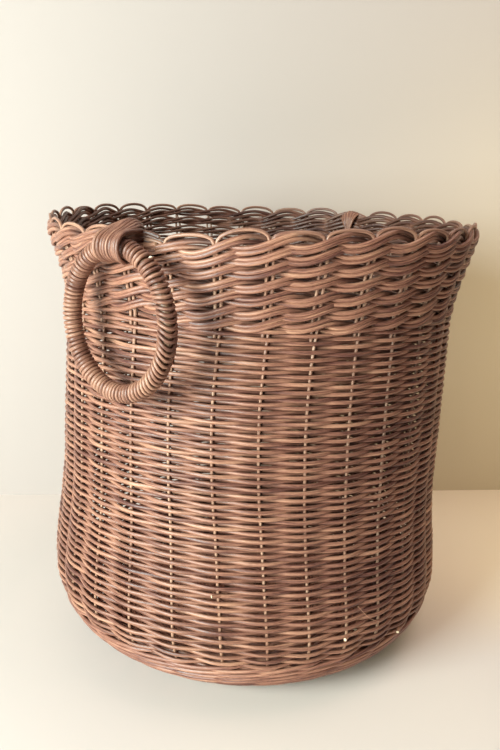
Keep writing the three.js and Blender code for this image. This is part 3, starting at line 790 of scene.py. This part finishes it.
def stake(k):
    """One rod: beside a base stick, round the heel, up the wall, over the rim and down beside the next one."""
    name = f"stake_{k + 1:02d}"
    bundle = Bundle(f"{name}_rod", 100 + k)
    rng = bundle.rng
    angle = pair_angle(k) + STAKE_TURN
    heel, top = arc_at(HEEL_END), arc_at(BAND_TOP + 1 * MM)

    # Beside the base stick's end, then round the heel to the rod's own place on the wall
    insert = [insert_point(k, radius) for radius in INSERT_RADII]
    edge_angle = math.atan2(insert[-1][1], insert[-1][0])
    single = SINGLE_SHIFT / WAIST_RADIUS
    turn = signed(angle + single - edge_angle)
    heel_angles = edge_angle + turn * np.linspace(0.25, 1, 5)
    heel_points, _ = on_wall(np.linspace(HEEL_START, heel, 5), heel_angles, 0)

    # Up the wall: aside in the band, where the neighbour's end stands beside it, and closer again at the rim
    beside = (PAIR_SPACING / 2 + STAKE_DRIFT[k]) / WAIST_RADIUS
    up_arcs = np.linspace(heel, top, 24)[1:]
    parted = smooth_step((up_arcs - arc_at(PARTING_START)) / PARTING_LENGTH)
    closing = smooth_step((up_arcs - arc_at(BAND_TOP - CLOSING_LENGTH)) / CLOSING_LENGTH)
    up_angles = angle + single + (beside * (1 - PAIR_CLOSING * closing) - single) * parted
    up_points, _ = on_wall(up_arcs, up_angles, 0)

    # Over the rim in an arch
    landing = (PAIR_SPACING / 2 - 0.3 * MM - STAKE_DRIFT[(k + 1) % STAKES]) / RIM_RADIUS
    land = angle + SPACE - (1 - PAIR_CLOSING) * landing
    start = angle + (1 - PAIR_CLOSING) * beside * WAIST_RADIUS / RIM_RADIUS
    rise = arch_rise(k, rng)
    lean = rng.uniform(-0.4, 0.9) * MM
    over = np.linspace(0, math.pi, 9)[1:-1]
    arch_angles = (start + land) / 2 - (land - start) / 2 * np.cos(over)
    arch_points, _ = on_wall(top, arch_angles, lean * np.sin(over))
    arch_points[:, 2] += rise * np.sin(over) ** 0.8

    # Down beside the next stake to just above the neck
    down_arcs = np.linspace(top, arc_at(STAKE_END), 6)
    opening = smooth_step((top - down_arcs) / CLOSING_LENGTH)
    down_points, _ = on_wall(down_arcs, land - PAIR_CLOSING * landing * opening, 0)

    # The tube. Its arch is thicker and a little darker: the upright part's paler tone is partly painted light,
    # for its stretches between the weavers that the weave shades
    path = resample([*insert, *heel_points, *up_points, *arch_points, *down_points], 3.5 * MM)
    side = np.zeros_like(path)
    side[:, :2] = path[:, :2] / np.linalg.norm(path[:, :2], axis=1)[:, None]
    side[path[:, 2] < 12 * MM] = (0, 0, -1)
    thick = smooth_step((path[:, 2] - BAND_TOP + 2 * MM) / (5 * MM))
    radius = UPRIGHT_RADIUS + (ARCH_RADIUS - UPRIGHT_RADIUS) * thick
    own_tone = 0.06 + rng.uniform(-0.08, 0.1)
    tone = own_tone + 0.08 * smooth_noise(np.arange(len(path)), 12, rng) - ARCH_DARKER * thick
    bundle.strand(path, radius, side, tone=tone)
    bundle.make(STAKE, "basket", [name])


# --- Base sticks ---


def stick_half(index, heading):
    """Half of one stick, from the crossing to its end, in a group's own direction."""
    place = index - (STICKS_PER_GROUP - 1) / 2
    offset = place * STICK_SPACING
    angle = heading + place * STICK_END_SPACE
    along = np.array([math.cos(heading), math.sin(heading)])
    across = np.array([-math.sin(heading), math.cos(heading)])
    points = [np.r_[along * CROSSING_EDGE + across * offset, base_middle(0)]]
    for radius in (SLATH_FAN_RADIUS, 85 * MM, STICK_END_RADIUS):
        points.append([radius * math.cos(angle), radius * math.sin(angle), float(base_middle(radius))])
    return np.array(points)


def base_sticks():
    """Four whole sticks, and across them four that are split to let them through."""
    middle = float(base_middle(0))
    for i in range(STICKS_PER_GROUP):
        opposite = STICKS_PER_GROUP - 1 - i
        offset = (i - (STICKS_PER_GROUP - 1) / 2) * STICK_SPACING
        through = Bundle(f"through_stick_{i + 1}", 60 + i)
        halves = [stick_half(opposite, 3 * math.pi / 2)[::-1], stick_half(i, math.pi / 2)]
        through.strand(resample(np.vstack(halves), 4 * MM), STICK_RADIUS, (0, 0, 1), tone=0.05 * (i % 2))
        through.make(CORE, "basket", [f"through_base_stick_{i + 1}"])
        split = Bundle(f"split_stick_{i + 1}", 70 + i)
        for arm in (stick_half(opposite, math.pi), stick_half(i, 0)):
            split.strand(resample(arm, 4 * MM), STICK_RADIUS, (0, 0, 1), tone=0.04)
        for level in (-1, 1):
            lift = level * (STICK_RADIUS + 1.45 * MM)
            xs = np.array([-SPLIT_END, -SPLIT_WIDE, 0, SPLIT_WIDE, SPLIT_END])
            zs = middle + np.array([level * MM, lift, lift, lift, level * MM])
            half = np.stack([xs, np.full(5, offset), zs], -1)
            split.strand(resample(half, 2 * MM), STICK_RADIUS, (0, 0, 1), squash=0.5, tone=0.08)
        split.make(CORE, "basket", [f"split_base_stick_{i + 1}"])


# --- Rings and lashings ---


class HandleFrame:
    """Axes of a handle: x along its hinge, y inwards, z up, from the hinge."""

    def __init__(self, joint):
        self.origin = np.array(joint["pos_m"])
        axis = np.array(joint["axis"])
        self.inward = -self.origin * (1, 1, 0)
        self.inward -= axis * self.inward.dot(axis)
        self.inward /= np.linalg.norm(self.inward)
        self.up = np.array([0, 0, 1.0])
        self.axis = np.cross(self.inward, self.up)
        self.angle = math.atan2(self.origin[1], self.origin[0])

    def place(self, points):
        points = np.asarray(points, float)
        return self.origin + points @ np.stack([self.axis, self.inward, self.up])

    def turn(self, vectors):
        return np.asarray(vectors, float) @ np.stack([self.axis, self.inward, self.up])

    def local(self, point):
        return np.stack([self.axis, self.inward, self.up]) @ (np.asarray(point, float) - self.origin)


def ring_centre(turn):
    """Centre line of the ring in its own frame, from the hinge round."""
    x = RING_HALF_WIDTH * np.sin(turn)
    z = RING_HALF_HEIGHT * (np.cos(turn) - 1)
    return np.stack([x, np.zeros_like(x), z], -1)


def ring_normal(turn):
    """Direction out of the ring's opening, across its centre line."""
    normal = [np.sin(turn) / RING_HALF_WIDTH, np.zeros_like(turn), np.cos(turn) / RING_HALF_HEIGHT]
    normal = np.stack(normal, -1)
    return normal / np.linalg.norm(normal, axis=-1)[..., None]


def wrap_tilt(turn):
    """How far the wrapping's turns slant. They slant most on the side towards the basket's front."""
    return SLANT_LEAST + SLANT_MORE * bell(signed(turn - SLANT_SIDE), SLANT_WIDTH)


def even_turns(count, slanted=False):
    """Turn angles at even distances round the ring, or wider where the wrapping slants."""
    dense = np.linspace(0, TAU, 2001)
    step = np.linalg.norm(np.diff(ring_centre(dense), axis=0), axis=1)
    if slanted:
        step = step * np.cos(wrap_tilt(dense[1:]))
    length = np.r_[0, np.cumsum(step)]
    return np.interp(np.linspace(0, length[-1], count), length, dense)


def ring(side, handle):
    """The hoop and the strand wound closely round it."""
    hoop = Bundle(f"{side}_hoop", 21)
    turns = even_turns(97)[:-1]
    path, normals = handle.place(ring_centre(turns)), handle.turn(ring_normal(turns))
    hoop.strand(path, HOOP_RADIUS, normals, sides=10, loop=True)
    hoop.make(CORE, f"{side}_ring", [f"{side}_ring_hoop"])
    wrap = Bundle(f"{side}_wrap", 22)
    rng = wrap.rng
    steps_per_turn = 14
    count = WRAP_TURNS * steps_per_turn
    share = np.arange(count + 1) / count
    wound = share * WRAP_TURNS
    turns = even_turns(4001, slanted=True)
    wander = 0.0012 * smooth_noise(wound, 1.0, rng)
    place = (share * WRAP_SHARE + WRAP_START + wander) % 1.0
    turn = np.interp(place, np.linspace(0, 1, len(turns)), turns)
    roll = TAU * WRAP_TURNS * share + 0.4 * smooth_noise(wound, 9, rng)
    slant = np.tan(wrap_tilt(turn)) * np.cos(roll) * (HOOP_RADIUS + WRAP_RADIUS) / RING_HALF_WIDTH
    centre = ring_centre(turn + slant)
    normal = ring_normal(turn + slant)
    out = normal * np.cos(roll)[:, None] + np.array([0, -1.0, 0]) * np.sin(roll)[:, None]
    lift = HOOP_RADIUS + WRAP_RADIUS + 0.15 * MM * smooth_noise(wound, 2.2, rng)
    points = centre + out * lift[:, None]
    tone = 0.10 * smooth_noise(wound, 6, rng) + 0.09 * smooth_noise(wound, 1, rng)
    tight = np.sin(wrap_tilt(turn))
    tone += PALE_STRENGTH * bell(turn - PALE_SIDE, PALE_WIDTH) - 0.02 * tight
    wrap.strand(handle.place(points), WRAP_RADIUS * (1 - 0.2 * tight), handle.turn(out), sides=8, tone=tone)
    wrap.make(WRAP, f"{side}_ring", [f"{side}_ring_wrapping"])


def lash_loop(handle, x, steps, droop):
    """One loop of the lashing in the handle's inward and up axes: round the ring's tube, the rim and back.

    It is the outline of a few discs that the strand is pulled tight round.
    """
    wall = handle.local(on_wall(arc_at(HINGE_HEIGHT), handle.angle, 0)[0])
    rim = handle.local(on_wall(arc_at(BAND_TOP), handle.angle, 0)[0])
    sweep = RING_HALF_HEIGHT * (1 - math.sqrt(1 - (x / RING_HALF_WIDTH) ** 2))
    tube = HOOP_RADIUS + 2 * WRAP_RADIUS + LASH_RADIUS + LASH_GAP + sweep
    inner_face = wall[1] + WALL_HALF + LASH_RADIUS
    crown = LASH_CROWN + LASH_RADIUS - droop
    discs = [
        (0, 0, tube),
        (rim[1], crown - LASH_TOP_ROUND, LASH_TOP_ROUND),
        (inner_face - LASH_FOOT_ROUND, -LASH_FOOT_DEPTH, LASH_FOOT_ROUND),
    ]
    turn = np.radians(np.arange(-120, 240, 0.5))
    ny, nz = -np.cos(turn), np.sin(turn)
    best = np.stack([y * ny + z * nz + r for y, z, r in discs]).argmax(0)
    y0, z0, r0 = (np.array([disc[i] for disc in discs])[best] for i in range(3))
    outline = np.stack([y0 + r0 * ny, z0 + r0 * nz], -1)
    length = np.r_[0, np.cumsum(np.linalg.norm(np.diff(outline, axis=0), axis=1))]
    at = np.linspace(0, length[-1], steps, endpoint=False)
    loop = np.stack([np.interp(at, length, outline[:, 0]), np.interp(at, length, outline[:, 1])], -1)
    normal = np.stack([np.interp(at, length, ny), np.interp(at, length, nz)], -1)
    return loop, normal


def lashing(side, handle):
    """A strand wound over the rim and round the ring's top. Its turns fan out from one hole in the weave."""
    bundle = Bundle(f"{side}_lash", 31)
    rng = bundle.rng
    steps = 44
    share = np.arange(steps) / steps
    fan = np.minimum(smooth_step(share / FAN_OUT), smooth_step((1 - share) / FAN_IN))
    points, out = [], []
    for i in range(LASH_TURNS):
        along = (i + 0.5 - LASH_TURNS / 2) * LASH_PITCH
        droop = LASH_DROOP * ((i - LASH_HIGHEST) / LASH_DROOP_TURNS) ** 2
        loop, normal = lash_loop(handle, along, steps, droop)
        x = LASH_HOLE + ((i + share - LASH_TURNS / 2) * LASH_PITCH - LASH_HOLE) * fan
        points.append(np.column_stack([x, loop]))
        out.append(np.column_stack([np.zeros(steps), normal]))
    points, out = np.concatenate(points), np.concatenate(out)
    at = np.arange(len(points))
    points += out * (0.3 * MM * smooth_noise(at, 17, rng))[:, None]
    points[:, 0] += 0.35 * MM * smooth_noise(at, 23, rng)
    for _ in range(2):
        points[1:-1] = (points[:-2] + 2 * points[1:-1] + points[2:]) / 4
    tone = 0.10 * smooth_noise(at, 60, rng)
    bundle.strand(handle.place(points), LASH_RADIUS, handle.turn(out), tone=tone)
    bundle.make(WRAP, "basket", [f"{side}_ring_lashing"])


# --- Build ---

wall_weave()
band_weave()
foot_weave()
base_weave()
base_sticks()
for k in range(STAKES):
    stake(k)
joints = {joint["child"]: joint for joint in frame["joints"]}
for side in ("left", "right"):
    handle = HandleFrame(joints[f"{side}_ring"])
    ring(side, handle)
    lashing(side, handle)


# --- Floor, backdrop, light and camera ---

CAMERA_DISTANCE = 722.7 * MM
CAMERA_HEIGHT = 430.8 * MM
CAMERA_PITCH = math.radians(14.42)
CAMERA_ROLL = math.radians(2.16)
CAMERA_YAW = math.radians(0.178)
FOCAL_PIXELS = 755.1
PHOTO_HEIGHT = 750
SENSOR = 36.0

BACKDROP_DISTANCE = 0.28
BACKDROP_TURN = math.radians(7.0)
STUDIO_SIZE = 3.0
AIR_COLOUR, AIR_STRENGTH = (1.0, 0.6, 0.44, 1.0), 0.034

toward = Vector((-math.sin(CAMERA_AZIMUTH), math.cos(CAMERA_AZIMUTH), 0))
rightward = Vector((math.cos(CAMERA_AZIMUTH), math.sin(CAMERA_AZIMUTH), 0))


def plain_material(name, colour):
    """Matt paint for the floor and the backdrop."""
    n = Nodes(name)
    n.shader.inputs["Base Color"].default_value = colour
    n.shader.inputs["Roughness"].default_value = 0.9
    n.shader.inputs["Specular IOR Level"].default_value = 0.1
    return n.material


def spot(right, forward, up):
    """A place given from the middle of the basket's foot, as the camera sees it."""
    return rightward * right + toward * forward + Vector((0, 0, up))


def plane(name, corners, material):
    """A flat sheet through four corners, as part of the stage."""
    mesh = bpy.data.meshes.new(name)
    mesh.from_pydata([tuple(c) for c in corners], [], [(0, 1, 2, 3)])
    mesh.materials.append(material)
    sheet = bpy.data.objects.new(name, mesh)
    bpy.context.scene.collection.objects.link(sheet)


def studio():
    """A floor and a backdrop that stands close behind the basket and is turned a little."""
    along = rightward * math.cos(BACKDROP_TURN) + toward * math.sin(BACKDROP_TURN)
    middle = toward * BACKDROP_DISTANCE
    left, right = middle - along * STUDIO_SIZE, middle + along * STUDIO_SIZE
    near, up = -toward * STUDIO_SIZE, Vector((0, 0, STUDIO_SIZE))
    plane("floor", [left + near, right + near, right, left], plain_material("floor_paint", srgb(231, 221, 214)))
    plane("backdrop", [left, right, right + up, left + up], plain_material("wall_paint", srgb(192, 181, 175)))


def area_light(name, place, target, size, power, colour, spread=180):
    """A soft light of a given width and height. spread is its beam's full angle in degrees."""
    data = bpy.data.lights.new(name, "AREA")
    data.shape = "RECTANGLE"
    data.size, data.size_y = size
    data.energy = power
    data.color = colour
    data.spread = math.radians(spread)
    lamp = bpy.data.objects.new(name, data)
    bpy.context.scene.collection.objects.link(lamp)
    lamp.location = place
    lamp.rotation_euler = (target - place).to_track_quat("-Z", "Y").to_euler()


def lights():
    """Window light from the left, a warm lamp above, and weak lights on the floor, foot and backdrop."""
    middle = Vector((0, 0, 0.2))
    area_light("key", spot(-1.05, -1.15, 0.6), middle, (0.8, 0.8), 53.5, (0.875, 1.0, 0.96))
    area_light("lamp", spot(0.5, 0.05, 1.5), middle, (1.0, 1.0), 9.6, (1.0, 0.77, 0.67))
    area_light("fill", spot(0.3, -0.55, 0.9), spot(0.28, -0.36, 0), (0.3, 0.3), 0.1, (0.88, 1.0, 0.92), 50)
    area_light("low", spot(0.13, -0.5, 0.18), spot(0.1, -0.15, 0), (0.3, 0.04), 0.014, (0.98, 1.0, 0.62), 24)
    area_light("glow", spot(0.55, 0.02, 0.3), spot(0.5, 0.28, 0.25), (0.5, 0.5), 1.28, (1.0, 0.86, 0.4))
    world = bpy.data.worlds.new("studio_air")
    world.use_nodes = True
    background = world.node_tree.nodes["Background"]
    background.inputs["Color"].default_value = AIR_COLOUR
    background.inputs["Strength"].default_value = AIR_STRENGTH
    bpy.context.scene.world = world


def camera():
    """The photo's viewpoint."""
    data = bpy.data.cameras.new("camera")
    data.sensor_fit = "AUTO"
    data.sensor_width = SENSOR
    data.lens = FOCAL_PIXELS * SENSOR / PHOTO_HEIGHT
    data.clip_start = 0.01
    eye = bpy.data.objects.new("camera", data)
    bpy.context.scene.collection.objects.link(eye)
    heading = Matrix.Rotation(CAMERA_YAW, 3, "Z") @ toward
    look = heading * math.cos(CAMERA_PITCH) - Vector((0, 0, math.sin(CAMERA_PITCH)))
    aim = look.to_track_quat("-Z", "Y").to_matrix() @ Matrix.Rotation(CAMERA_ROLL, 3, "Z")
    place = -toward * CAMERA_DISTANCE + Vector((0, 0, CAMERA_HEIGHT))
    eye.matrix_world = Matrix.Translation(place) @ aim.to_4x4()
    bpy.context.scene.camera = eye


studio()
lights()
camera()
bpy.context.scene.view_settings.view_transform = "Standard"
